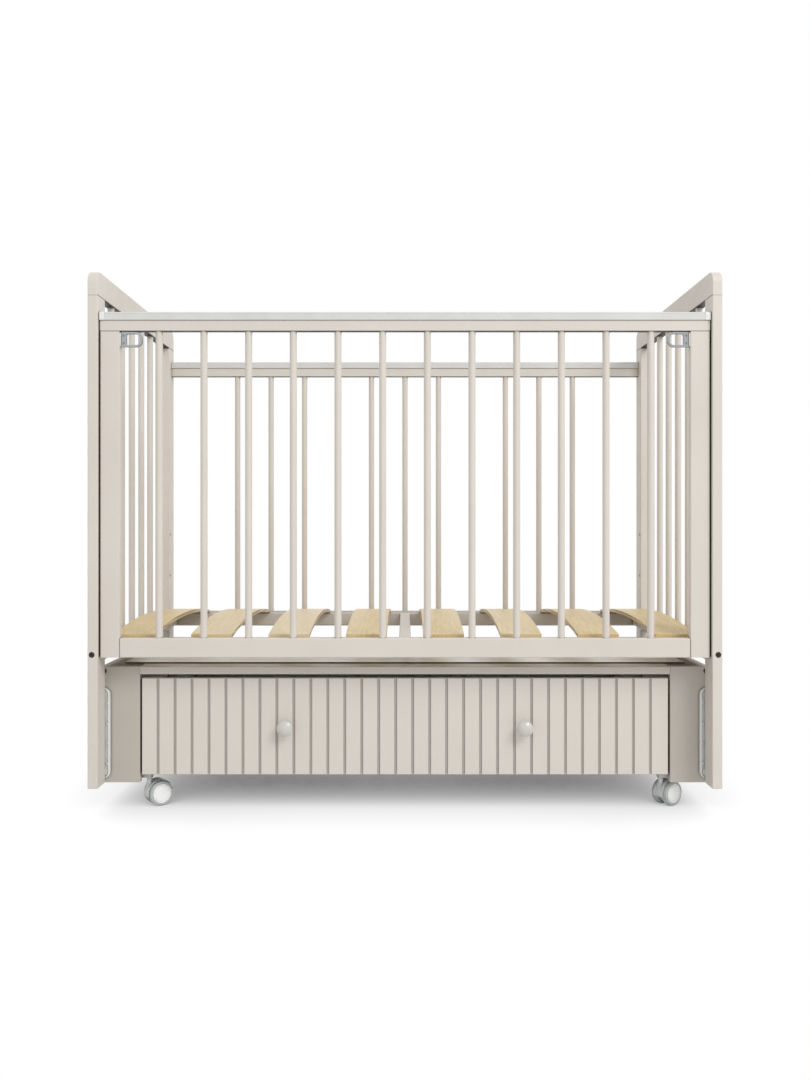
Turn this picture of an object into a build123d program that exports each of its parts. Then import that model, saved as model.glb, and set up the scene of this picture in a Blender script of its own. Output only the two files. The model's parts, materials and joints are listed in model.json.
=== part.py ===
from build123d import *
import os
from math import atan2, cos, degrees, hypot, radians, sin

os.makedirs("parts", exist_ok=True)

# A child's crib with a drop side, hung on four swing arms over a base with a drawer and casters.
# Millimetres. X runs along the crib to the right, Y to the rear, Z up from the floor.
# The origin is on the floor under the middle of the crib.

# Overall sizes
crib_length = 1250.0
crib_width = 680.0
crib_height = 1078.0
post_foot_height = 56.5

# Clearances
glue_gap = 0.1  # round a bar or a shank in its socket
running_gap = 0.05  # radial, round a pin that turns or slides
slide_gap = 0.3  # between flat faces that slide
hole_end_gap = 1.0  # past the end of a shank in its hole
cut_overrun = 0.5  # past a face, where a cut or a joint runs through it

# End panels
panel_thickness = 20.0
post_width = 52.5
end_rail_height = 49.0
end_rail_corner = 24.0
end_low_rail_bottom = 305.0
end_low_rail_height = 48.0
end_bar_count = 6
end_bar_pitch = 84.0
board_edge = 2.0
fine_chamfer = 0.8

# Round bars
bar_diameter = 14.0
bar_socket = 12.0

# Long sides, the drop side in front and the fixed side behind
side_thickness = 18.0
side_inset = 8.0  # from the posts' outer face to the side
side_bottom = 314.0
side_low_rail_height = 38.0
side_top_rail_height = 21.5
side_top_drop = 97.0  # from the end panels' top down to the side's top rail
drop_bar_count = 12
drop_bar_pitch = 88.6
rear_bar_count = 13
rear_bar_pitch = 87.0
stile_width = 38.5
drop_gap = 2.5  # between a stile and its post

# Teething covers on the top rails
cover_width = 22.0
cover_height = 16.5
cover_wall = 2.6
cover_corner = 6.0
cover_bead = 4.2  # from the top down to the line along each face
cover_line = 0.9
cap_length = 11.0
cap_proud = 0.6
cap_edge = 1.8
cap_gap = 0.5  # between a cap and the post it slides past
tongue_setback = 2.0  # between the rear rail's tongue and the post

# Guide strips in the front posts and the sliders that run in them
guide_width = 12.0
guide_depth = 7.6
guide_slot_width = 7.4
guide_slot_depth = 6.4
guide_overlap = 8.0  # up past the underside of the side's top rail
slider_rise = 234.0  # above the side's underside
slider_diameter = 7.0
slider_flange = 13.0
slider_flange_thickness = 1.2
slider_shank = 5.0
slider_shank_length = 15.0
slider_reach = 5.6  # into the guide slot

# Latches in the top corners of the drop side
latch_drop = 16.0  # below the underside of the side's top rail
latch_pin_diameter = 6.0
latch_pin_reach = 5.6  # into the guide slot
latch_bush_flange = 2.0
latch_bush_length = 28.0
latch_bush_width = 15.0
latch_bush_plug = 6.0
latch_bush_corner = 3.0
latch_bore = 11.0
latch_bore_depth = 30.0
latch_collar_diameter = 9.6
latch_collar_length = 2.0
latch_collar_gap = 0.5  # between the collar and the end of its bore
ring_length = 41.0
ring_height = 30.0
ring_band = 4.0
ring_thickness = 8.0
ring_body = 10.0
ring_corner = 12.0
ring_inner_corner = 3.0
ring_pocket = 3.4  # from a pocket's middle to its corners

# Mattress base
bed_bottom = 318.0
bed_rail_height = 31.0
bed_rail_width = 20.0
bed_rail_gap = 4.0  # between the drop side and the front bed rail
bed_centre_width = 24.0
bed_centre_height = 18.0
slat_count = 8
slat_pitch = 155.4
slat_width = 82.0
slat_thickness = 7.5
slat_rise = 19.0
slat_seat = 8.0  # how far a slat's end lies over its rail
slat_lift = 0.2  # clearance between the end of a slat and the rail
bed_level_pitch = 106.0
bed_level_count = 3
bed_hole_diameter = 8.0
bed_hole_depth = 12.0

# Bolts with a round, flush head and a hexagon socket
bolt_head_diameter = 11.6
bolt_head_height = 5.0
bolt_sink = 0.4
bolt_socket = 5.0  # across the flats
bolt_socket_depth = 2.8
bolt_shank = 6.0
frame_bolt_height = 320.5
frame_bolt_inset = 8.5  # from the outer face, clear of the guide strip
frame_bolt_length = 82.0
rear_rail_bolt_length = 58.0
bed_bolt_length = 28.0
bed_bolt_rise = 20.5  # above the mattress base's underside

# Base
base_inset = 64.0  # from the crib's front face to the base's
base_board_thickness = 18.0
base_bottom = 54.0
base_top = 288.5
base_end_inset = 5.0  # from the crib's end to the base's
corner_board_width = 82.5
base_rail_thickness = 15.5
base_rail_depth = 60.0
base_bolt_height = 280.0
base_low_bolt_height = 66.0
base_bolt_length = 60.0
runner_thickness = 15.0
runner_rise = 4.5  # above the boards' underside
runner_lap = 1.5  # inwards past the drawer side it carries
runner_setback = 1.5
dust_cover_thickness = 3.0
dust_cover_overlap = 42.5  # past the corner boards' inner edges
dust_cover_setback = 48.0

# Swing arms
arm_radius = 13.5
arm_pivot_spacing = 156.0
arm_upper_pivot = 233.0
arm_inset = 15.0  # from the crib's end to the pivots
arm_thickness = 7.5
arm_gap = 1.9  # between the arm and the post
arm_rim = 3.0
arm_web = 2.5
arm_rib = 2.4
arm_boss = 9.0
arm_middle_hole = 3.6
arm_rib_points = [14.4, 38.0, 61.6]  # down from the upper pivot
pivot_diameter = 10.0
pivot_head = 14.0
pivot_head_thickness = 1.6
pivot_head_recess = 2.0
pivot_shank = 6.0
pivot_shank_length = 12.0
pivot_collar = 16.0

# Drawer
drawer_end_gap = 3.5  # between the drawer front and a corner board
drawer_front_bottom = 69.5
drawer_front_height = 195.5
drawer_front_thickness = 17.0
drawer_proud = -1.0  # of the corner boards
drawer_groove_count = 30
drawer_groove_shift = -1.7  # of the whole row
drawer_groove_width = 6.0
drawer_groove_floor = 3.0
drawer_groove_depth = 3.0
drawer_depth = 478.0
drawer_wall = 12.0
drawer_side_inset = 1.0
drawer_side_height = 155.0
drawer_panel = 4.0
drawer_panel_lift = 8.0
drawer_tongue = 5.0
knob_spacing = 484.0
knob_height = 166.0
knob_diameter = 32.0
knob_length = 28.0
knob_head = 10.0  # from the back of the head to the front
knob_rim = 4.0
knob_flare = 7.0  # height of the hollow under the head
knob_flare_radius = 11.9
knob_edge_radius = 2.4
knob_neck = 13.0
knob_foot = 17.0
knob_foot_height = 2.0
knob_foot_top = 5.0  # where the cone over the foot meets the neck

# Casters
wheel_diameter = 50.0
wheel_width = 14.5
wheels_over_all = 40.0
wheel_hub = 39.0
wheel_dish = 0.8
wheel_ring = 1.5  # width of the dished ring's floor
wheel_ring_slope = 1.0
axle_seat = 4.0  # from the wheel's face in to the axle's end
tyre_round = 3.5
axle_diameter = 6.0
caster_trail = 19.5
caster_yaw = 36.0
caster_inset = 5.5  # from the runner's inner edge to the stem
caster_setback = 28.0  # from the base's front face to the stem
caster_body_gap = 0.7
hood_gap = 0.9
hood_thickness = 1.4
hood_width = 25.0
hood_from = -12.0
hood_to = 140.0
hood_sector = 80.0  # reach of the wedge that trims the hood
cheek_setback = 6.0  # from the tread to the cheek's edge
cheek_height = 26.0
cheek_rise = 8.0  # middle of the cheek above the axle
rib_setback = 7.0  # from the tread to the rib's foot
boss_rise = 12.0  # foot of the stem's boss above the axle
stem_diameter = 8.0
stem_boss = 10.4
stem_length = 13.0
socket_wall = 1.6
socket_flange = 14.0
socket_flange_thickness = 1.0
pedal_width = 6.0
pedal_pivot_back = 9.5  # behind the axle
pedal_pivot_up = 13.0  # above the axle
pedal_boss = 6.8
pedal_trunnion = 3.6
pedal_tab_start = 28.0
pedal_reach = 31.5
pedal_tab_width = 15.0
pedal_thickness = 3.6
pedal_tab_drop = 9.0  # from the pivot down to the tab
pedal_tab_lap = 1.0  # of the lever over the tab
pedal_tab_corner = 1.2
pedal_slot_height = 22.0
pedal_slot_drop = 7.0  # from the pivot down to the slot's middle

# Places that follow from the sizes
x_outer = crib_length / 2
x_inner = x_outer - panel_thickness
x_panel = x_outer - panel_thickness / 2
y_outer = crib_width / 2
y_post_inner = y_outer - post_width
y_post = y_outer - post_width / 2
rail_underside = crib_height - end_rail_height
post_length = rail_underside - post_foot_height
y_side = y_outer - side_inset - side_thickness / 2
side_top = crib_height - side_top_drop
side_top_rail_bottom = side_top - side_top_rail_height
tongue_width = cover_width - 2 * cover_wall - 2 * slide_gap
tongue_height = cover_height - cover_wall - slide_gap
stile_outer = x_inner - drop_gap
stile_inner = stile_outer - stile_width
bar_radius = bar_diameter / 2
socket_radius = bar_radius + glue_gap
guide_length = side_top_rail_bottom + guide_overlap - side_bottom
slider_height = side_bottom + slider_rise
latch_height = side_top_rail_bottom - latch_drop
guide_face = x_inner + slide_gap
bed_top = bed_bottom + bed_rail_height
bed_half_width = y_outer - side_inset - side_thickness - bed_rail_gap
y_bed_rail = bed_half_width - bed_rail_width / 2
x_bed_rail = x_inner - bed_rail_width / 2
bed_bolt_height = bed_bottom + bed_bolt_rise
y_base = y_outer - base_inset
base_half_length = x_outer - base_end_inset
arm_x = x_outer - arm_inset
y_board = y_base - base_board_thickness / 2
y_board_inner = y_base - base_board_thickness
board_inner = base_half_length - corner_board_width
x_side_board = base_half_length - base_board_thickness / 2
side_board_inner = base_half_length - base_board_thickness
y_arm_outer = y_post_inner - arm_gap
y_arm_inner = y_arm_outer - arm_thickness
arm_lower_pivot = arm_upper_pivot - arm_pivot_spacing
runner_bottom = base_bottom + runner_rise
runner_top = runner_bottom + runner_thickness
runner_end = y_board_inner - runner_setback
y_drawer_front = y_base + drawer_proud
y_drawer_box = y_drawer_front - drawer_front_thickness
y_drawer_back = y_drawer_box - drawer_depth
drawer_front_width = 2 * (board_inner - drawer_end_gap)
drawer_side_outer = drawer_front_width / 2 - drawer_side_inset
drawer_side_inner = drawer_side_outer - drawer_wall
runner_inner = drawer_side_inner - runner_lap
caster_x = runner_inner + caster_inset
drawer_floor = runner_top + slide_gap
drawer_panel_bottom = drawer_floor + drawer_panel_lift
wheel_radius = wheel_diameter / 2
caster_body_width = wheels_over_all - 2 * wheel_width - 2 * caster_body_gap
y_caster = y_base - caster_setback
hood_radius = wheel_radius + hood_gap + hood_thickness

SIDES = ((-1, "left"), (1, "right"))
ENDS = ((-1, "front"), (1, "rear"))


def row(count, pitch):
    """Places of evenly pitched things about the middle."""
    return [(n - (count - 1) / 2) * pitch for n in range(count)]


end_bar_places = row(end_bar_count, end_bar_pitch)
drop_bar_places = row(drop_bar_count, drop_bar_pitch)
rear_bar_places = row(rear_bar_count, rear_bar_pitch)


def bolt(face, length):
    """A bolt whose head sits just below the plane face, pointing against the plane's normal."""
    with BuildPart(mode=Mode.PRIVATE) as piece:
        with BuildSketch(face.offset(-bolt_sink)):
            Circle(bolt_head_diameter / 2)
        extrude(amount=-bolt_head_height)
        with BuildSketch(face.offset(-bolt_sink)):
            RegularPolygon(bolt_socket / 2, 6, major_radius=False)
        extrude(amount=-bolt_socket_depth, mode=Mode.SUBTRACT)
        with BuildSketch(face.offset(-bolt_sink - bolt_head_height)):
            Circle(bolt_shank / 2)
        extrude(amount=-(length - bolt_head_height))
        chamfer(piece.faces().sort_by(Axis(face.origin, face.z_dir))[0].edges(), fine_chamfer)
    return piece.part


def bolt_hole(face, length):
    """Cuts the stepped hole that takes a bolt of this length."""
    with BuildSketch(face) as head:
        Circle(bolt_head_diameter / 2 + glue_gap)
    extrude(head.sketch, amount=-(bolt_sink + bolt_head_height), mode=Mode.SUBTRACT)
    with BuildSketch(face) as shank:
        Circle(bolt_shank / 2 + glue_gap)
    extrude(shank.sketch, amount=-(length + bolt_sink + hole_end_gap), mode=Mode.SUBTRACT)


def save(part, name):
    """Labels a finished piece and writes it."""
    part.label = name
    export_step(part, f"parts/{name}.step")


# Planes that the bolts start from
def post_bolt_face(side, end):
    bolt_x = x_outer - frame_bolt_inset
    return Plane(origin=(side * bolt_x, end * y_outer, frame_bolt_height), z_dir=(0, end, 0))


def rear_rail_bolt_face(side, height):
    return Plane(origin=(side * x_outer, y_side, height), z_dir=(side, 0, 0))


def bed_bolt_face(side, end):
    face_x = x_inner - bed_rail_width
    return Plane(origin=(side * face_x, end * y_bed_rail, bed_bolt_height), z_dir=(-side, 0, 0))


def base_bolt_face(side, end, height):
    return Plane(origin=(side * x_side_board, end * y_base, height), z_dir=(0, end, 0))


rear_rail_bolt_heights = [
    side_bottom + side_low_rail_height / 2,
    side_top_rail_bottom + side_top_rail_height / 2,
]
base_bolt_heights = [base_low_bolt_height, base_bolt_height]


# Posts of the end panels
for side, side_name in SIDES:
    for end, end_name in ENDS:
        with BuildPart() as post:
            with BuildSketch(Plane.XY.offset(post_foot_height)):
                with Locations((side * x_panel, end * y_post)):
                    RectangleRounded(panel_thickness, post_width, board_edge)
            extrude(amount=post_length)
            chamfer(post.faces().sort_by(Axis.Z)[0].edges(), fine_chamfer)
            bolt_hole(post_bolt_face(side, end), frame_bolt_length)
            # sockets for the mattress base at each of its levels
            with BuildSketch(Plane(origin=(side * x_inner, 0, 0), x_dir=(0, 1, 0), z_dir=(side, 0, 0))):
                levels = [bed_bolt_height + n * bed_level_pitch for n in range(bed_level_count)]
                with Locations(*[(end * y_bed_rail, side * level) for level in levels]):
                    Circle(bed_hole_diameter / 2)
            extrude(amount=bed_hole_depth, mode=Mode.SUBTRACT)
            # seat of the lower pivot pin
            pin_seat = (side * arm_x, end * y_post_inner, arm_lower_pivot)
            with BuildSketch(Plane(origin=pin_seat, z_dir=(0, end, 0))):
                Circle(pivot_shank / 2 + glue_gap)
            extrude(amount=pivot_shank_length, mode=Mode.SUBTRACT)
            if end < 0:
                # routed slot for the guide strip
                slot_face = Plane(origin=(side * x_inner, -y_side, 0), x_dir=(0, 1, 0), z_dir=(side, 0, 0))
                with BuildSketch(slot_face):
                    with Locations((0, side * (side_bottom + guide_length / 2))):
                        SlotOverall(guide_length + 2 * glue_gap, guide_width + 2 * glue_gap, rotation=90)
                extrude(amount=guide_depth + slide_gap + glue_gap, mode=Mode.SUBTRACT)
            else:
                for height in rear_rail_bolt_heights:
                    bolt_hole(rear_rail_bolt_face(side, height), rear_rail_bolt_length)
        save(post.part, f"{end_name}_post_{side_name}")

# Top rail of each end panel, with round upper corners
for side, side_name in SIDES:
    with BuildPart() as end_top_rail:
        with BuildSketch(Plane.YZ.offset(side * x_panel)):
            with Locations((0, crib_height - end_rail_height / 2)):
                Rectangle(crib_width, end_rail_height)
            fillet(vertices().group_by(Axis.Y)[-1], end_rail_corner)
        extrude(amount=panel_thickness / 2, both=True)
        fillet(end_top_rail.faces().filter_by(Axis.X).edges(), board_edge)
        with BuildSketch(Plane.XY.offset(rail_underside)):
            with Locations(*[(side * x_panel, place) for place in end_bar_places]):
                Circle(socket_radius)
        extrude(amount=bar_socket, mode=Mode.SUBTRACT)
    save(end_top_rail.part, f"end_top_rail_{side_name}")

# Bottom rail of each end panel, bolted between the posts
for side, side_name in SIDES:
    with BuildPart() as end_bottom_rail:
        with BuildSketch(Plane.XZ.offset(-y_post_inner)):
            with Locations((side * x_panel, end_low_rail_bottom + end_low_rail_height / 2)):
                RectangleRounded(panel_thickness, end_low_rail_height, board_edge)
        extrude(amount=2 * y_post_inner)
        with BuildSketch(Plane.XY.offset(end_low_rail_bottom + end_low_rail_height)):
            with Locations(*[(side * x_panel, place) for place in end_bar_places]):
                Circle(socket_radius)
        extrude(amount=-bar_socket, mode=Mode.SUBTRACT)
        for end, end_name in ENDS:
            bolt_hole(post_bolt_face(side, end), frame_bolt_length)
    save(end_bottom_rail.part, f"end_bottom_rail_{side_name}")

# Round bars of each end panel
end_bar_bottom = end_low_rail_bottom + end_low_rail_height - bar_socket
for side, side_name in SIDES:
    with BuildPart() as end_bars:
        with BuildSketch(Plane.XY.offset(end_bar_bottom)):
            with Locations(*[(side * x_panel, place) for place in end_bar_places]):
                Circle(bar_radius)
        extrude(amount=rail_underside + bar_socket - end_bar_bottom)
    save(end_bars.part, f"end_bars_{side_name}")


def cover_outline(proud):
    """Outline of the teething cover in the sketch, grown by proud, with its bottom on the rail."""
    with Locations((0, (cover_height + proud) / 2)):
        Rectangle(cover_width + 2 * proud, cover_height + proud)
    fillet(vertices().group_by(Axis.Y)[-1], cover_corner)


def side_top_rail(y, half_length, tongue_half_length, places, name):
    """Top rail of a long side, with the tongue that the teething cover fits over."""
    with BuildPart() as rail:
        with BuildSketch(Plane.YZ.offset(-half_length)):
            with Locations((y, side_top_rail_bottom + side_top_rail_height / 2)):
                RectangleRounded(side_thickness, side_top_rail_height, board_edge / 2)
        extrude(amount=2 * half_length)
        with BuildSketch(Plane.YZ.offset(-tongue_half_length)):
            with Locations((y, side_top + (tongue_height - cut_overrun) / 2)):
                Rectangle(tongue_width, tongue_height + cut_overrun)
            fillet(vertices().group_by(Axis.Y)[-1], cover_corner - cover_wall)
        extrude(amount=2 * tongue_half_length)
        with BuildSketch(Plane.XY.offset(side_top_rail_bottom)):
            with Locations(*[(place, y) for place in places]):
                Circle(socket_radius)
        extrude(amount=bar_socket, mode=Mode.SUBTRACT)
        if y > 0:
            for side, side_name in SIDES:
                bolt_hole(rear_rail_bolt_face(side, rear_rail_bolt_heights[1]), rear_rail_bolt_length)
    save(rail.part, name)


def teething_cover(y, half_length, name):
    """Grey channel moulding over a top rail, with a line along each face."""
    with BuildPart() as cover:
        with BuildSketch(Plane(origin=(-half_length, y, side_top), x_dir=(0, 1, 0), z_dir=(1, 0, 0))):
            cover_outline(0)
            with Locations((0, (tongue_height + slide_gap) / 2)):
                Rectangle(tongue_width + 2 * slide_gap, tongue_height + slide_gap, mode=Mode.SUBTRACT)
            line_height = cover_height - cover_bead
            with Locations((cover_width / 2, line_height), (-cover_width / 2, line_height)):
                Rectangle(cover_line, cover_line, rotation=45, mode=Mode.SUBTRACT)
        extrude(amount=2 * half_length)
    save(cover.part, name)


def round_bars(y, places, name):
    """Round bars of a long side, set into both rails."""
    bottom = side_bottom + side_low_rail_height - bar_socket
    with BuildPart() as bars:
        with BuildSketch(Plane.XY.offset(bottom)):
            with Locations(*[(place, y) for place in places]):
                Circle(bar_radius)
        extrude(amount=side_top_rail_bottom + bar_socket - bottom)
    save(bars.part, name)


def side_bottom_rail(y, half_length, places, name):
    """Bottom rail of a long side."""
    with BuildPart() as rail:
        with BuildSketch(Plane.YZ.offset(-half_length)):
            with Locations((y, side_bottom + side_low_rail_height / 2)):
                RectangleRounded(side_thickness, side_low_rail_height, board_edge)
        extrude(amount=2 * half_length)
        with BuildSketch(Plane.XY.offset(side_bottom + side_low_rail_height)):
            with Locations(*[(place, y) for place in places]):
                Circle(socket_radius)
        extrude(amount=-bar_socket, mode=Mode.SUBTRACT)
        if y > 0:
            for side, side_name in SIDES:
                bolt_hole(rear_rail_bolt_face(side, rear_rail_bolt_heights[0]), rear_rail_bolt_length)
    save(rail.part, name)


# Fixed rear side, between the rear posts
cover_half_length = x_inner - cap_gap - cap_length
side_top_rail(y_side, x_inner, x_inner - tongue_setback, rear_bar_places, "rear_top_rail")
side_bottom_rail(y_side, x_inner, rear_bar_places, "rear_bottom_rail")
round_bars(y_side, rear_bar_places, "rear_bars")
teething_cover(y_side, x_inner - cap_gap, "rear_rail_cover")

# Drop side: a frame of top rail, bottom rail and two stiles
side_top_rail(-y_side, stile_outer, cover_half_length - slide_gap, drop_bar_places, "drop_top_rail")
side_bottom_rail(-y_side, stile_inner, drop_bar_places, "drop_bottom_rail")
round_bars(-y_side, drop_bar_places, "drop_bars")
teething_cover(-y_side, cover_half_length, "drop_rail_cover")

with BuildPart() as drop_cover_caps:
    for side, side_name in SIDES:
        cap_start = side * cover_half_length
        with BuildSketch(Plane(origin=(cap_start, -y_side, side_top), x_dir=(0, 1, 0), z_dir=(1, 0, 0))):
            cover_outline(cap_proud)
        extrude(amount=side * cap_length)
    for last in (0, -1):
        cap_end = drop_cover_caps.faces().filter_by(Axis.X).sort_by(Axis.X)[last]
        fillet(cap_end.edges().sort_by(Axis.Z)[1:], cap_edge)
save(drop_cover_caps.part, "drop_cover_caps")

with BuildPart() as drop_stiles:
    for side, side_name in SIDES:
        with BuildSketch(Plane.XY.offset(side_bottom)):
            with Locations((side * (stile_outer + stile_inner) / 2, -y_side)):
                RectangleRounded(stile_width, side_thickness, board_edge)
        extrude(amount=side_top_rail_bottom - side_bottom)
    for side, side_name in SIDES:
        # stepped bore of the latch pin, wide where the spring and the bush go
        with BuildSketch(Plane(origin=(side * stile_inner, -y_side, latch_height), z_dir=(side, 0, 0))):
            Circle(latch_bore / 2)
        extrude(amount=latch_bore_depth, mode=Mode.SUBTRACT)
        with BuildSketch(Plane(origin=(side * stile_inner, -y_side, latch_height), z_dir=(side, 0, 0))):
            Circle(latch_pin_diameter / 2 + running_gap)
        extrude(amount=stile_width, mode=Mode.SUBTRACT)
        # seat of the slider
        with BuildSketch(Plane(origin=(side * stile_outer, -y_side, slider_height), z_dir=(-side, 0, 0))):
            Circle(slider_shank / 2 + glue_gap)
        extrude(amount=slider_shank_length, mode=Mode.SUBTRACT)
save(drop_stiles.part, "drop_stiles")

# Sliders: a flange against the stile, a shank in it and a nose in the guide slot
with BuildPart() as drop_sliders:
    for side, side_name in SIDES:
        face = Plane(origin=(side * stile_outer, -y_side, slider_height), z_dir=(side, 0, 0))
        with BuildSketch(face):
            Circle(slider_flange / 2)
        extrude(amount=slider_flange_thickness)
        with BuildSketch(face):
            Circle(slider_diameter / 2)
        extrude(amount=drop_gap + slider_reach)
        with BuildSketch(face):
            Circle(slider_shank / 2)
        extrude(amount=-slider_shank_length)
save(drop_sliders.part, "drop_sliders")

# Guide strips let into the front posts, with the slot that the sliders and latch pins run in
with BuildPart() as drop_guides:
    for side, side_name in SIDES:
        face = Plane(origin=(side * guide_face, -y_side, 0), x_dir=(0, 1, 0), z_dir=(side, 0, 0))
        centre = (0, side * (side_bottom + guide_length / 2))
        with BuildSketch(face):
            with Locations(centre):
                SlotOverall(guide_length, guide_width, rotation=90)
        extrude(amount=guide_depth)
    for side, side_name in SIDES:
        face = Plane(origin=(side * guide_face, -y_side, 0), x_dir=(0, 1, 0), z_dir=(side, 0, 0))
        centre = (0, side * (side_bottom + guide_length / 2))
        with BuildSketch(face):
            with Locations(centre):
                SlotOverall(guide_length - guide_width + guide_slot_width, guide_slot_width, rotation=90)
        extrude(amount=guide_slot_depth, mode=Mode.SUBTRACT)
save(drop_guides.part, "drop_guides")

# Latch bushes: a plug in the stile's bore under a flange that the ring closes against
with BuildPart() as latch_bushes:
    for side, side_name in SIDES:
        seat = (side * stile_inner, -y_side, latch_height)
        face = Plane(origin=seat, x_dir=(0, 1, 0), z_dir=(-side, 0, 0))
        with BuildSketch(face):
            RectangleRounded(latch_bush_width, latch_bush_length, latch_bush_corner)
        extrude(amount=latch_bush_flange)
        with BuildSketch(face):
            Circle(latch_bore / 2 - glue_gap)
        extrude(amount=-latch_bush_plug)
    for side, side_name in SIDES:
        flange_face = (side * (stile_inner - latch_bush_flange), -y_side, latch_height)
        face = Plane(origin=flange_face, z_dir=(side, 0, 0))
        with BuildSketch(face):
            Circle(latch_pin_diameter / 2 + running_gap)
        extrude(amount=latch_bush_flange + latch_bush_plug, mode=Mode.SUBTRACT)
save(latch_bushes.part, "latch_bushes")

# Latch rings: a finger ring with a ribbed body, and the lock pin with its spring collar
ring_base = stile_inner - latch_bush_flange - slide_gap
pin_end = x_inner + latch_pin_reach + slide_gap
collar_face = stile_inner + latch_bore_depth - latch_collar_gap
for side, side_name in SIDES:
    with BuildPart() as latch_ring:
        ring_foot = (side * ring_base, -y_side, latch_height)
        face = Plane(origin=ring_foot, x_dir=(-side, 0, 0), z_dir=(0, side, 0))
        with BuildSketch(face):
            with Locations((ring_length / 2, 0)):
                Rectangle(ring_length, ring_height)
            fillet(vertices().group_by(Axis.X)[-1], ring_corner)
            with BuildSketch(mode=Mode.SUBTRACT):
                window = ring_length - ring_body - ring_band
                with Locations((ring_body + window / 2, 0)):
                    Rectangle(window, ring_height - 2 * ring_band)
                fillet(vertices().group_by(Axis.X)[-1], ring_corner - ring_band)
                fillet(vertices().group_by(Axis.X)[0], ring_inner_corner)
        extrude(amount=ring_thickness / 2, both=True)
        # three-cornered pockets on both faces of the body
        for pocket_face in (ring_thickness / 2, -ring_thickness / 2):
            with BuildSketch(face.offset(pocket_face)):
                with Locations((ring_body / 2, ring_height / 4), (ring_body / 2, -ring_height / 4)):
                    RegularPolygon(ring_pocket, 3)
            extrude(amount=-pocket_face / 3, mode=Mode.SUBTRACT)
        pin_face = Plane(origin=ring_foot, z_dir=(side, 0, 0))
        with BuildSketch(pin_face):
            Circle(latch_pin_diameter / 2)
        extrude(amount=pin_end - ring_base)
        with BuildSketch(pin_face.offset(collar_face - latch_collar_length - ring_base)):
            Circle(latch_collar_diameter / 2)
        extrude(amount=latch_collar_length)
    save(latch_ring.part, f"latch_ring_{side_name}")

# Mattress base: rails on edge, a flat centre bar and arched slats
with BuildPart() as bed_side_rails:
    for end, end_name in ENDS:
        with BuildSketch(Plane.YZ.offset(bed_rail_width - x_inner)):
            with Locations((end * y_bed_rail, bed_bottom + bed_rail_height / 2)):
                RectangleRounded(bed_rail_width, bed_rail_height, board_edge)
        extrude(amount=2 * (x_inner - bed_rail_width))
save(bed_side_rails.part, "bed_side_rails")

with BuildPart() as bed_end_rails:
    for side, side_name in SIDES:
        with BuildSketch(Plane.XZ.offset(-bed_half_width)):
            with Locations((side * x_bed_rail, bed_bottom + bed_rail_height / 2)):
                RectangleRounded(bed_rail_width, bed_rail_height, board_edge)
        extrude(amount=2 * bed_half_width)
    for side, side_name in SIDES:
        for end, end_name in ENDS:
            bolt_hole(bed_bolt_face(side, end), bed_bolt_length)
save(bed_end_rails.part, "bed_end_rails")

with BuildPart() as bed_centre_bar:
    with BuildSketch(Plane.XZ.offset(bed_rail_width - bed_half_width)):
        with Locations((0, bed_top - bed_centre_height / 2)):
            RectangleRounded(bed_centre_width, bed_centre_height, board_edge)
    extrude(amount=2 * (bed_half_width - bed_rail_width), dir=(0, -1, 0))
save(bed_centre_bar.part, "bed_centre_bar")

slat_half_span = bed_half_width - bed_rail_width + slat_seat
slat_bottom = bed_top + slat_lift
with BuildPart() as bed_slats:
    with BuildSketch(Plane.YZ.offset(-slat_width / 2)):
        with BuildLine():
            ThreePointArc(
                (-slat_half_span, slat_bottom),
                (0, slat_bottom + slat_rise),
                (slat_half_span, slat_bottom),
            )
            Line((slat_half_span, slat_bottom), (slat_half_span, slat_bottom + slat_thickness))
            ThreePointArc(
                (slat_half_span, slat_bottom + slat_thickness),
                (0, slat_bottom + slat_rise + slat_thickness),
                (-slat_half_span, slat_bottom + slat_thickness),
            )
            Line((-slat_half_span, slat_bottom + slat_thickness), (-slat_half_span, slat_bottom))
        make_face()
    extrude(amount=slat_width)
one_slat = bed_slats.part
slats = Compound(children=[Pos(place, 0, 0) * one_slat for place in row(slat_count, slat_pitch)])
save(slats, "bed_slats")

# Frame bolts: end rails to posts, rear side to rear posts, mattress base to posts
frame_bolt_list = []
for side, side_name in SIDES:
    for end, end_name in ENDS:
        frame_bolt_list.append(bolt(post_bolt_face(side, end), frame_bolt_length))
        frame_bolt_list.append(bolt(bed_bolt_face(side, end), bed_bolt_length))
    for height in rear_rail_bolt_heights:
        frame_bolt_list.append(bolt(rear_rail_bolt_face(side, height), rear_rail_bolt_length))
save(Compound(children=frame_bolt_list), "frame_bolts")

# Base: corner boards, side boards, top rails and runners
with BuildPart() as base_corner_boards:
    for side, side_name in SIDES:
        for end, end_name in ENDS:
            with BuildSketch(Plane.XY.offset(base_bottom)):
                with Locations((side * (base_half_length + board_inner) / 2, end * y_board)):
                    RectangleRounded(corner_board_width, base_board_thickness, board_edge)
            extrude(amount=base_top - base_bottom)
    for side, side_name in SIDES:
        for end, end_name in ENDS:
            for height in base_bolt_heights:
                bolt_hole(base_bolt_face(side, end, height), base_bolt_length)
            pin_seat = (side * arm_x, end * y_base, arm_upper_pivot)
            with BuildSketch(Plane(origin=pin_seat, z_dir=(0, -end, 0))):
                Circle(pivot_shank / 2 + glue_gap)
            extrude(amount=pivot_shank_length, mode=Mode.SUBTRACT)
save(base_corner_boards.part, "base_corner_boards")

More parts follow.
